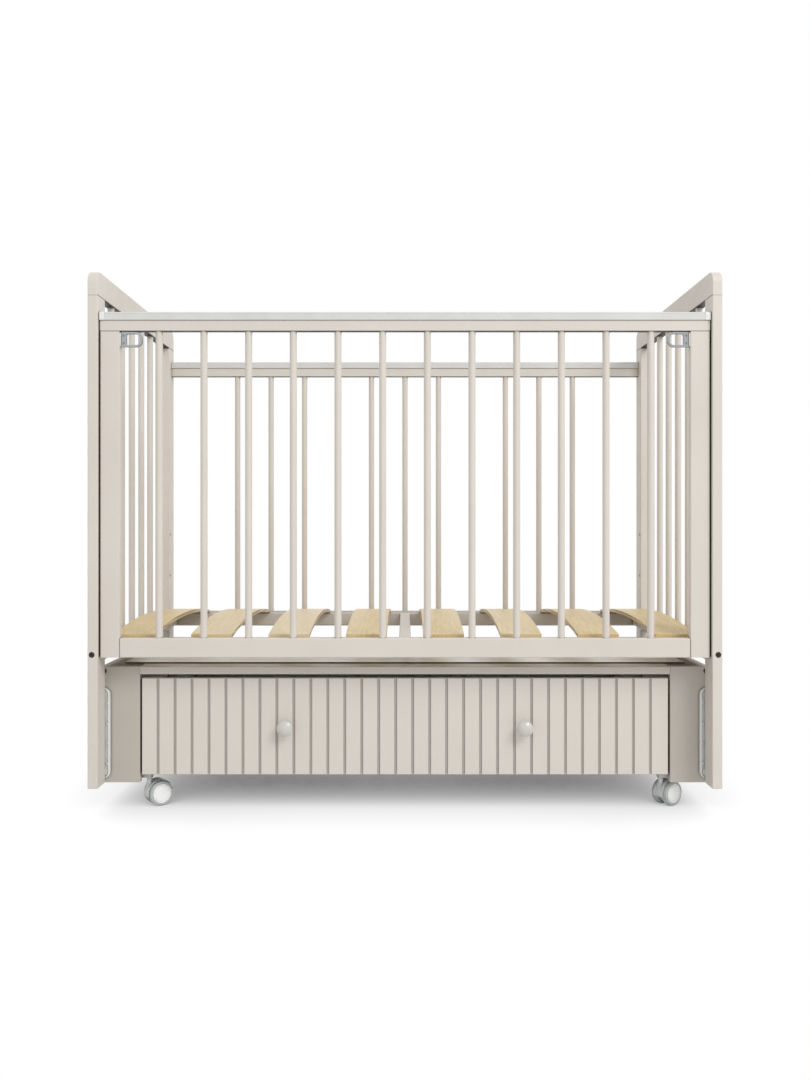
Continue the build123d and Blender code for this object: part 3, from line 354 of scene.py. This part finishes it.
@dataclass(frozen=True)
class Veneer(Finish):
    """Bent birch laminate under clear lacquer: straight fine grain, darker streaks and flecks."""

    streak: str = "#C9AE7C"
    fleck: str = "#AD8D5C"
    layer: float = 1.5

    def make(self) -> bpy.types.Material:
        """Builds the laminate, with its layers on the edges."""
        material, tree, shader, coords = self.start()
        where = coords.outputs["Object"]
        # growth lines about 5 mm apart, drawn out along the slat
        lines = self.spread(tree, self.noise(tree, where, 5.0, 6.0, Grain.FINE), 0.0, 0.7, 0.35, 0.68)
        colour = self.blend(tree, lines, linear(self.colour), linear(self.streak))
        # pores 1.6 mm wide
        flecks = self.spread(tree, self.noise(tree, where, 1.6, 2.0, Grain.FINE), 0.0, 0.5, 0.6, 0.78)
        colour = self.blend(tree, flecks, colour, linear(self.fleck))
        # each slat is a little lighter or darker than the next
        board = self.spread(tree, self.noise(tree, where, 260.0, 0.0, Grain.CROSSWISE), 0.0, 0.5)
        colour = self.blend(tree, board, colour, linear("#E9DDC2"))
        # cut edges show the layers of veneer
        normal = add_node(tree, "ShaderNodeSeparateXYZ", {0: coords.outputs["Normal"]})
        side = add_node(tree, "ShaderNodeMath", {0: normal.outputs[0]}, operation="ABSOLUTE").outputs[0]
        bands = {"Vector": where, "Scale": 1000.0 / self.layer / WAVE_BANDS}
        layers = add_node(tree, "ShaderNodeTexWave", bands, bands_direction="Z").outputs["Fac"]
        edge = add_node(tree, "ShaderNodeMath", {0: side, 1: layers}, operation="MULTIPLY").outputs[0]
        colour = self.blend(tree, edge, colour, linear(self.fleck))
        # painted shade in joints, gaps and inside corners
        colour = self.paint_crease_shade(tree, colour, 7.0, 0.6)
        tree.links.new(colour, shader.inputs["Base Color"])
        self.emboss(tree, shader, lines, 0.05, 0.3)
        return material


@dataclass(frozen=True)
class Moulded(Finish):
    """Injection-moulded or extruded plastic: an even colour with a fine spark-eroded grain."""

    grit: float = 0.8
    relief: float = 0.03
    shade: str | None = None
    clear: float = 0.0
    reach: float = 5.0
    dark: float = 0.45

    def make(self) -> bpy.types.Material:
        """Builds the plastic."""
        material, tree, shader, coords = self.start()
        where = coords.outputs["Object"]
        # slow change of tone across the moulding, 60 mm from light to dark
        cloud = self.spread(tree, self.noise(tree, where, 60.0), 0.0, 1.0)
        colour = self.blend(tree, cloud, linear(self.colour), linear(self.shade or self.colour))
        # painted shade in joints, gaps and inside corners
        tree.links.new(self.paint_crease_shade(tree, colour, self.reach, self.dark), shader.inputs["Base Color"])
        self.emboss(tree, shader, self.noise(tree, where, self.grit, 2.0), self.relief, 0.4)
        matt = self.noise(tree, where, 18.0)
        sheen = self.spread(tree, matt, self.roughness - 0.05, self.roughness + 0.05)
        tree.links.new(sheen, shader.inputs["Roughness"])
        shader.inputs["Coat Weight"].default_value = self.clear
        return material


@dataclass(frozen=True)
class Plated(Finish):
    """Plated metal: chrome on the latches, zinc on pins and bolts, with a slightly smeared shine."""

    smear: float = 0.06
    # colour of the painted reflection
    painted_reflection_colour: str = "#55585A"

    def make(self) -> bpy.types.Material:
        """Builds the plating."""
        material, tree, shader, coords = self.start()
        shader.inputs["Metallic"].default_value = 1.0
        where = coords.outputs["Object"]
        # painted reflection: the plating takes a second colour where it faces up or turns away from the
        # front, darker on chrome and lighter on the bolts
        facing = add_node(tree, "ShaderNodeSeparateXYZ", {0: coords.outputs["Normal"]}).outputs[2]
        top = self.spread(tree, facing, 0.0, 1.0, 0.2, 0.6)
        across = add_node(tree, "ShaderNodeSeparateXYZ", {0: coords.outputs["Normal"]}).outputs[1]
        flat = add_node(tree, "ShaderNodeMath", {0: across}, operation="ABSOLUTE").outputs[0]
        edge = self.spread(tree, flat, 0.85, 0.0, 0.5, 0.95)
        reflection_mask = add_node(tree, "ShaderNodeMath", {0: top, 1: edge}, operation="MAXIMUM").outputs[0]
        colour = self.blend(tree, reflection_mask, linear(self.colour), linear(self.painted_reflection_colour))
        # painted shade in joints, gaps and inside corners
        tree.links.new(self.paint_crease_shade(tree, colour, 4.0, 0.25), shader.inputs["Base Color"])
        wear = self.noise(tree, where, 4.0, 4.0)
        sheen = self.spread(tree, wear, self.roughness, self.roughness + self.smear)
        tree.links.new(sheen, shader.inputs["Roughness"])
        self.emboss(tree, shader, self.noise(tree, where, 1.0, 2.0), 0.01, 0.2)
        return material


@dataclass(frozen=True)
class PaintedSheet(Finish):
    """White-lacquered hardboard with its raw brown edge showing in front."""

    edge: str = "#21130A"
    edge_from: float = -0.2275

    def make(self) -> bpy.types.Material:
        """Builds the lacquer and the raw edge."""
        material, tree, shader, coords = self.start()
        where = coords.outputs["Object"]
        cloud = self.spread(tree, self.noise(tree, where, 90.0), 0.0, 1.0)
        colour = self.blend(tree, cloud, linear(self.colour), linear("#F3F4F3"))
        place = add_node(tree, "ShaderNodeSeparateXYZ", {0: where}).outputs[1]
        front = {0: place, 1: self.edge_from}
        raw = add_node(tree, "ShaderNodeMath", front, operation="LESS_THAN").outputs[0]
        fibre = self.spread(tree, self.noise(tree, where, 1.2, 3.0), 0.0, 1.0)
        brown = self.blend(tree, fibre, linear(self.edge), linear("#3A2415"))
        # painted shade in joints, gaps and inside corners
        colour = self.paint_crease_shade(tree, self.blend(tree, raw, colour, brown), 5.0, 0.6)
        tree.links.new(colour, shader.inputs["Base Color"])
        self.emboss(tree, shader, self.noise(tree, where, 1.5, 1.0), 0.03, 0.3)
        return material


@dataclass(frozen=True)
class StudioPaper(Finish):
    """White studio paper, shown plain white, with a painted soft shadow where the crib keeps light off it.
    """

    shadow_reach: float = 420.0
    shadow_fall: float = 0.42

    def make(self) -> bpy.types.Material:
        """Builds the paper."""
        material, tree, shader, coords = self.start()
        fibres = self.noise(tree, coords.outputs["Object"], 12.0, 3.0)
        sheen = self.spread(tree, fibres, self.roughness - 0.04, self.roughness)
        tree.links.new(sheen, shader.inputs["Roughness"])
        shader.inputs["Specular IOR Level"].default_value = 0.2
        # painted shadow: the white the camera sees is darkened where the crib stands close above the paper
        opening = add_node(
            tree, "ShaderNodeAmbientOcclusion", {"Distance": self.shadow_reach * MM}, samples=64
        ).outputs["AO"]
        opened = self.spread(tree, opening, 0.0, 1.0, 0.02, 0.7)
        fall = {0: opened, 1: self.shadow_fall}
        tone = add_node(tree, "ShaderNodeMath", fall, operation="POWER").outputs[0]
        white = add_node(tree, "ShaderNodeEmission", {"Color": tone, "Strength": 1.0})
        seen = {0: seen_plain(tree), 1: shader.outputs[0], 2: white.outputs[0]}
        mixed = add_node(tree, "ShaderNodeMixShader", seen)
        add_node(tree, "ShaderNodeOutputMaterial", {"Surface": mixed.outputs[0]}).is_active_output = True
        return material


class Palette(Enum):
    """Every finish on the crib, by what it is."""

    UPRIGHT_ENAMEL = SatinEnamel("satin_enamel_upright", TAUPE, 0.48)
    POST_ENAMEL = SatinEnamel("satin_enamel_post", TAUPE, 0.48, seam=(2, POST_TOP))
    STILE_ENAMEL = SatinEnamel("satin_enamel_stile", TAUPE, 0.48, seam=(2, STILE_TOP))
    BOTTOM_RAIL = SatinEnamel(
        "satin_enamel_side_bottom_rail", TAUPE, 0.48, grain=Grain.LENGTHWISE, seam=(0, STILE_INNER)
    )
    LONG_ENAMEL = SatinEnamel("satin_enamel_lengthwise", TAUPE, 0.48, grain=Grain.LENGTHWISE)
    CROSS_ENAMEL = SatinEnamel("satin_enamel_crosswise", TAUPE, 0.48, grain=Grain.CROSSWISE)
    LONG_RAIL = SatinEnamel(
        "satin_enamel_top_rail", TAUPE, 0.48, grain=Grain.LENGTHWISE, underside_shade=PAINTED_UNDERSIDE_SHADE
    )
    CROSS_RAIL = SatinEnamel(
        "satin_enamel_end_rail", TAUPE, 0.48, grain=Grain.CROSSWISE, underside_shade=PAINTED_UNDERSIDE_SHADE
    )
    BASE_ENAMEL = SatinEnamel("satin_enamel_base_board", "#C0B9B0", 0.5, shade="#B9B2A9")
    BASE_RAIL = SatinEnamel(
        "satin_enamel_base_rail", "#CFC8BF", 0.5, shade="#C9C2B9", grain=Grain.LENGTHWISE
    )
    DRAWER_ENAMEL = SatinEnamel(
        "satin_enamel_drawer_front", "#DCD5CC", 0.46, shade="#D7D0C7", reach=7.0, groove_from=GROOVE_FROM
    )
    BIRCH = Veneer("lacquered_birch_laminate", "#E0C78F", 0.38)
    COVER = Moulded("extruded_pvc_cover", "#D8D8D5", 0.42, grit=0.9, shade="#D0D0CE")
    CAP = Moulded("moulded_abs_cap", "#E8E9E6", 0.35, grit=0.6)
    GUIDE = Moulded("black_nylon_guide", "#1C1B1A", 0.45)
    BUSH = Moulded("white_abs_bush", "#E4E4E1", 0.3)
    CHROME = Plated("chrome_plate", "#A9ACAE", 0.1, painted_reflection_colour="#3C3E40")
    BOLT = Plated("black_zinc_bolt", "#4A4846", 0.28, painted_reflection_colour="#9A9896")
    ARM = Moulded("white_nylon_arm", "#F1F3EF", 0.35, grit=1.0, reach=8.0, dark=0.4)
    RUNNER = SatinEnamel("laminated_runner_board", "#CDCDCA", 0.5, shade="#C4C4C0", grain=Grain.CROSSWISE)
    SHEET = PaintedSheet("lacquered_hardboard", "#FAFBFA", 0.4)
    BOARD = SatinEnamel("melamine_drawer_board", "#E6E4DE", 0.45, shade="#DCD9D2", grain=Grain.CROSSWISE)
    KNOB = Moulded("lacquered_beech_knob", "#D2CFC7", 0.28, grit=1.2, shade="#CBC8C0", clear=0.3, dark=0.2)
    CASTER = Moulded("grey_abs_caster", "#D2D4D4", 0.3, grit=0.5, reach=9.0, dark=0.15)
    HUB = Moulded("white_abs_hub", "#FBFBFA", 0.28, grit=0.5, reach=1.5)
    TREAD = Moulded("pale_polyurethane_tread", "#BCC2BF", 0.55, grit=0.5, shade="#B4BBB8", reach=4.0)
    PEDAL = Moulded("grey_abs_pedal", "#DDDEDD", 0.3, grit=0.5)
    FLOOR = StudioPaper("studio_paper", "#E6E6E6", 0.9)


@dataclass
class Workshop:
    """Holds the loaded frame and each finish once it is made."""

    frame: dict[str, Any]
    made: dict[Palette, bpy.types.Material] = field(default_factory=dict)

    def finish(self, choice: Palette) -> bpy.types.Material:
        """Returns the finish's material, made on first use."""
        if choice not in self.made:
            self.made[choice] = choice.value.make()
        return self.made[choice]

    def dress(self, node: str, choice: Palette) -> None:
        """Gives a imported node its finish.

        Args:
            node: the node's name.
            choice: the finish.
        """
        piece = self.frame["nodes"][node]
        piece.data.materials.clear()
        piece.data.materials.append(self.finish(choice))
        log.info("dressed %s with %s", node, choice.value.name)

    def piece(
        self,
        mesh: bmesh.types.BMesh,
        name: str,
        finishes: list[Palette],
        body: str,
        slot: str,
        stands_for: tuple[str, ...] = (),
    ) -> bpy.types.Object:
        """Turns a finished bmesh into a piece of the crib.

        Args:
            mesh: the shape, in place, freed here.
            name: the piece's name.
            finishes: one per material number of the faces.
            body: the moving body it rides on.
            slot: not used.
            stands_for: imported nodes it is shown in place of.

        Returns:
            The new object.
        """
        data = bpy.data.meshes.new(name)
        mesh.to_mesh(data)
        mesh.free()
        for choice in finishes:
            data.materials.append(self.finish(choice))
        data.shade_smooth()
        data.set_sharp_from_angle(angle=math.radians(SMOOTH_UP_TO))
        made = bpy.data.objects.new(name, data)
        bpy.context.scene.collection.objects.link(made)
        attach(made, body)
        if stands_for:
            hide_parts(*stands_for)
        log.info("made %s", name)
        return made


def turned(
    profile: list[tuple[float, float]], place: Matrix, steps: int, material: int = 0
) -> bmesh.types.BMesh:
    """Turns a profile round an axis.

    Args:
        profile: distance from the axis and height along it, in millimetres, from one pole to the other.
        place: puts the axis, which is local Z, in the frame.
        steps: divisions of the full turn.
        material: material number of its faces.

    Returns:
        A closed shape with its normals outwards.
    """
    mesh = bmesh.new()
    corners = [mesh.verts.new((radius * MM, 0.0, height * MM)) for radius, height in profile]
    edges = [mesh.edges.new(pair) for pair in zip(corners, corners[1:])]
    bmesh.ops.spin(
        mesh,
        geom=[*corners, *edges],
        cent=(0, 0, 0),
        axis=(0, 0, 1),
        angle=math.tau,
        steps=steps,
        use_merge=True,
        use_duplicate=False,
    )
    bmesh.ops.remove_doubles(mesh, verts=mesh.verts, dist=1e-6)
    bmesh.ops.recalc_face_normals(mesh, faces=mesh.faces)
    for face in mesh.faces:
        face.material_index = material
    bmesh.ops.transform(mesh, matrix=place, verts=mesh.verts)
    return mesh


def joined(shapes: list[bmesh.types.BMesh]) -> bmesh.types.BMesh:
    """Puts several shapes in one, freeing the others.

    Args:
        shapes: the shapes, each in place.

    Returns:
        One shape that holds them all.
    """
    whole = bmesh.new()
    for shape in shapes:
        part = bpy.data.meshes.new("part")
        shape.to_mesh(part)
        shape.free()
        whole.from_mesh(part)
        bpy.data.meshes.remove(part)
    return whole


@dataclass
class CribBody:
    """The hung crib: end panels, rear side, mattress base and their fittings."""

    shop: Workshop

    def build(self) -> None:
        """Dresses every node of the crib body."""
        for end, side in CORNERS:
            self.shop.dress(f"{end}_post_{side}", Palette.POST_ENAMEL)
        for side in SIDES:
            self.shop.dress(f"end_top_rail_{side}", Palette.CROSS_RAIL)
            self.shop.dress(f"end_bottom_rail_{side}", Palette.CROSS_ENAMEL)
            self.shop.dress(f"end_bars_{side}", Palette.UPRIGHT_ENAMEL)
        self.shop.dress("rear_top_rail", Palette.LONG_RAIL)
        self.shop.dress("rear_bottom_rail", Palette.LONG_ENAMEL)
        self.shop.dress("rear_bars", Palette.UPRIGHT_ENAMEL)
        self.shop.dress("rear_rail_cover", Palette.COVER)
        self.shop.dress("bed_side_rails", Palette.LONG_ENAMEL)
        self.shop.dress("bed_end_rails", Palette.CROSS_ENAMEL)
        self.shop.dress("bed_centre_bar", Palette.CROSS_ENAMEL)
        self.shop.dress("bed_slats", Palette.BIRCH)
        self.shop.dress("frame_bolts", Palette.BOLT)
        self.shop.dress("arm_lower_pins", Palette.ARM)
        self.shop.dress("drop_guides", Palette.GUIDE)


@dataclass
class DropSide:
    """The front side that slides down, with its teething cover and latches."""

    shop: Workshop

    def build(self) -> None:
        """Dresses every node of the drop side."""
        self.shop.dress("drop_top_rail", Palette.LONG_RAIL)
        self.shop.dress("drop_bottom_rail", Palette.BOTTOM_RAIL)
        self.shop.dress("drop_stiles", Palette.STILE_ENAMEL)
        self.shop.dress("drop_bars", Palette.UPRIGHT_ENAMEL)
        self.shop.dress("drop_rail_cover", Palette.COVER)
        self.shop.dress("drop_cover_caps", Palette.CAP)
        self.shop.dress("drop_sliders", Palette.GUIDE)
        self.shop.dress("latch_bushes", Palette.BUSH)
        for side in SIDES:
            self.shop.dress(f"latch_ring_{side}", Palette.CHROME)


@dataclass
class PendulumBase:
    """The base on casters with its swing arms."""

    shop: Workshop

    def build(self) -> None:
        """Dresses every node of the base and the arms."""
        self.shop.dress("base_corner_boards", Palette.BASE_ENAMEL)
        self.shop.dress("base_sides", Palette.BASE_ENAMEL)
        self.shop.dress("base_rails", Palette.BASE_RAIL)
        self.shop.dress("drawer_runners", Palette.RUNNER)
        self.shop.dress("dust_cover", Palette.SHEET)
        self.shop.dress("base_bolts", Palette.BOLT)
        self.shop.dress("arm_upper_pins", Palette.ARM)
        self.shop.dress("caster_sockets", Palette.CASTER)
        for end, side in CORNERS:
            self.shop.dress(f"swing_arm_{end}_{side}", Palette.ARM)


@dataclass
class Drawer:
    """The drawer under the crib."""

    shop: Workshop

    def build(self) -> None:
        """Dresses every node of the drawer."""
        self.shop.dress("drawer_front", Palette.DRAWER_ENAMEL)
        self.shop.dress("drawer_sides", Palette.BOARD)
        self.shop.dress("drawer_back", Palette.BOARD)
        self.shop.dress("drawer_bottom", Palette.SHEET)
        self.shop.dress("drawer_knobs", Palette.KNOB)


@dataclass
class Casters:
    """Four twin-wheel casters, all turned alike, two of them with a brake pedal."""

    shop: Workshop
    yaw: float = 36.0
    trail: float = 19.5
    stem_x: float = 525.0
    stem_y: float = 248.0
    radius: float = 25.0
    over_all: float = 40.0
    width: float = 14.5
    hub: float = 19.5
    steps: int = 64
    braked: tuple[tuple[str, str], ...] = (("front", "left"), ("rear", "right"))

    def place(self, end: str, side: str) -> Matrix:
        """Finds a caster's axle.

        Args:
            end: front or rear.
            side: left or right.

        Returns:
            The axle's place, with local Z along it and local X in the rolling direction.
        """
        turn = math.radians(self.yaw)
        roll = Vector((math.cos(turn), math.sin(turn), 0.0))
        axle = Vector((math.sin(turn), -math.cos(turn), 0.0))
        up = axle.cross(roll)
        stem = Vector((SIDES[side] * self.stem_x, ENDS[end] * self.stem_y, self.radius))
        centre = stem + roll * self.trail
        rows = Matrix((roll, up, axle)).transposed().to_4x4()
        return Matrix.Translation(centre * MM) @ rows

    def wheel(self, place: Matrix, face: int) -> list[bmesh.types.BMesh]:
        """Turns one wheel: a soft tread round a white hub with a ring line and a cap.

        Args:
            place: the axle's place.
            face: 1 for the wheel on the axle's positive side, -1 for the other.

        Returns:
            The tread and the hub.
        """
        outer = face * self.over_all / 2
        inner = outer - face * self.width
        step = float(face)
        tread = [
            (self.hub, inner + step * 0.4),
            (self.radius - 3.2, inner + step * 0.1),
            (self.radius - 1.2, inner + step * 0.9),
            (self.radius, inner + step * 3.4),
            (self.radius, outer - step * 3.4),
            (self.radius - 1.0, outer - step * 1.2),
            (self.radius - 2.8, outer - step * 0.3),
            (self.radius - 4.6, outer - step * 0.1),
            (self.hub + 0.2, outer - step * 0.5),
            (self.hub, outer - step * 1.4),
            (self.hub, inner + step * 0.4),
        ]
        hub = [
            (0.0, outer),
            (9.0, outer - step * 0.1),
            (15.4, outer - step * 0.3),
            (15.8, outer - step * 1.1),
            (16.8, outer - step * 1.1),
            (17.2, outer - step * 0.1),
            (self.hub - 0.4, outer - step * 0.1),
            (self.hub, outer - step * 0.7),
            (self.hub, inner + step * 0.6),
            (0.0, inner + step * 0.6),
        ]
        return [turned(tread, place, self.steps), turned(hub, place, self.steps, 1)]

    def build(self) -> None:
        """Dresses the bodies and pedals and turns the wheels."""
        for end, side in CORNERS:
            corner = f"{end}_{side}"
            self.shop.dress(f"caster_body_{corner}", Palette.CASTER)
            place = self.place(end, side)
            shapes = [*self.wheel(place, 1), *self.wheel(place, -1)]
            self.shop.piece(
                joined(shapes),
                f"twin_wheels_{corner}",
                [Palette.TREAD, Palette.HUB],
                f"wheels_{corner}",
                "wheel_plastic",
                (f"caster_wheels_{corner}",),
            )
        for end, side in self.braked:
            self.shop.dress(f"brake_pedal_{end}_{side}", Palette.PEDAL)


@dataclass
class Studio:
    """The white studio: floor, light and camera."""

    shop: Workshop
    floor_reach: float = 30.0
    camera_place: tuple[float, float, float] = (0.0, -2.401, 0.58)
    lens: float = 34.92
    horizon_shift: float = -0.01574
    sky: float = 0.75
    key: float = 260.0
    key_size: float = 3.4
    key_place: tuple[float, float, float] = (4.2, -5.0, 5.4)
    key_aim: tuple[float, float, float] = (0.0, 0.0, 0.6)

    def build_floor(self) -> None:
        """Lays the paper on the floor."""
        mesh = bmesh.new()
        bmesh.ops.create_grid(mesh, x_segments=1, y_segments=1, size=self.floor_reach)
        data = bpy.data.meshes.new("floor")
        mesh.to_mesh(data)
        mesh.free()
        data.materials.append(self.shop.finish(Palette.FLOOR))
        floor = bpy.data.objects.new("floor", data)
        bpy.context.scene.collection.objects.link(floor)
        log.info("laid the floor")

    def build_sky(self) -> None:
        """Surrounds the crib with even white light, and shows plain white behind it."""
        world = bpy.data.worlds.new("studio")
        bpy.context.scene.world = world
        world.use_nodes = True
        tree = world.node_tree
        tree.nodes.clear()
        lit = add_node(tree, "ShaderNodeBackground", {"Color": linear("#FFFFFF"), "Strength": self.sky})
        shown = add_node(tree, "ShaderNodeBackground", {"Color": linear("#FFFFFF"), "Strength": 1.0})
        seen = {0: seen_plain(tree), 1: lit.outputs[0], 2: shown.outputs[0]}
        mixed = add_node(tree, "ShaderNodeMixShader", seen)
        add_node(tree, "ShaderNodeOutputWorld", {"Surface": mixed.outputs[0]})

    def build_light(
        self,
        name: str,
        place: tuple[float, float, float],
        aim: tuple[float, float, float],
        power: float,
        size: float,
    ) -> None:
        """Hangs one soft box.

        Args:
            name: its name.
            place: where it hangs.
            aim: the point it faces.
            power: in watts.
            size: edge length.
        """
        data = bpy.data.lights.new(name, "AREA")
        data.energy = power
        data.size = size
        light = bpy.data.objects.new(name, data)
        light.location = place
        light.rotation_euler = (Vector(aim) - Vector(place)).to_track_quat("-Z", "Y").to_euler()
        bpy.context.scene.collection.objects.link(light)
        log.info("hung %s", name)

    def build_camera(self) -> None:
        """Sets the camera level and square to the front."""
        data = bpy.data.cameras.new("camera")
        data.sensor_width = 36.0
        data.lens = self.lens
        data.shift_y = self.horizon_shift
        camera = bpy.data.objects.new("camera", data)
        camera.location = self.camera_place
        camera.rotation_euler = (math.radians(90), 0.0, 0.0)
        bpy.context.scene.collection.objects.link(camera)
        bpy.context.scene.camera = camera

    def build(self) -> None:
        """Builds the whole studio."""
        bpy.context.scene.view_settings.view_transform = "Standard"
        self.build_camera()
        self.build_floor()
        self.build_sky()
        self.build_light("key_softbox", self.key_place, self.key_aim, self.key, self.key_size)


def main() -> None:
    """Builds the crib's looks and the studio."""
    logging.basicConfig(level=logging.INFO, format="%(message)s")
    shop = Workshop(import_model())
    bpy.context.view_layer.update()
    CribBody(shop).build()
    DropSide(shop).build()
    PendulumBase(shop).build()
    Drawer(shop).build()
    Casters(shop).build()
    Studio(shop).build()


if __name__ == "__main__":
    main()
